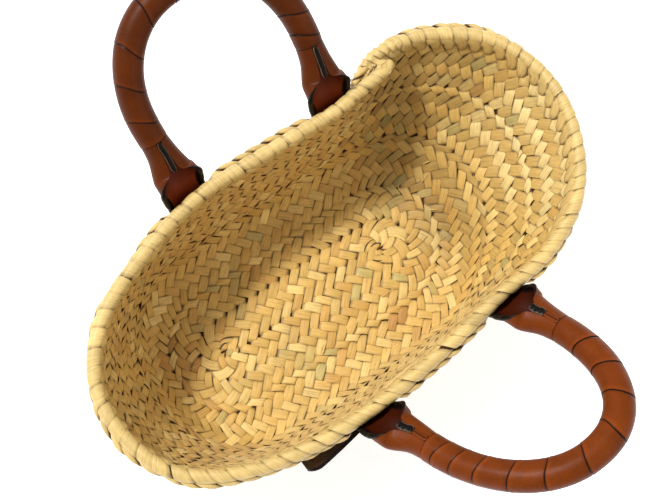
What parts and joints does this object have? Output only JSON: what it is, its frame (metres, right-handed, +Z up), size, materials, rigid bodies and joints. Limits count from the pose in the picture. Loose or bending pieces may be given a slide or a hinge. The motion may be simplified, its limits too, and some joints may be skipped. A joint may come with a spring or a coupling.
{
  "type": "straw basket bag",
  "caption": "Oval woven palm basket bag, open at the top, with a wrapped rim roll and arched leather-covered tube handles stitched on through rolled leather ends.",
  "frame": {"origin": "on the flat underside of the base, midway between the two eyes of the coiled braid", "axes": "+Z up, +X along the bag's length through both eyes, +Y to the back handle, which is the upper left one in the picture"},
  "size_m": [0.3736, 0.3973, 0.1778],
  "materials": {
    "straw": "woven palm leaf, dry and matte",
    "palm_strip": "smooth palm leaf strip, slight sheen",
    "tan_leather": "smooth tan leather, soft sheen",
    "dark_leather": "dark brown leather, black painted edges"
  },
  "bodies": {
    "root": {"basket_body": "straw", "rim_binding": "palm_strip", "back_handle": "tan_leather", "front_handle": "tan_leather", "back_left_tab": "tan_leather", "back_right_tab": "tan_leather", "front_left_tab": "tan_leather", "front_right_tab": "tan_leather", "back_left_keeper": "dark_leather", "back_right_keeper": "dark_leather", "front_left_keeper": "dark_leather", "front_right_keeper": "dark_leather", "front_patch": "dark_leather"}
  },
  "joints": []
}
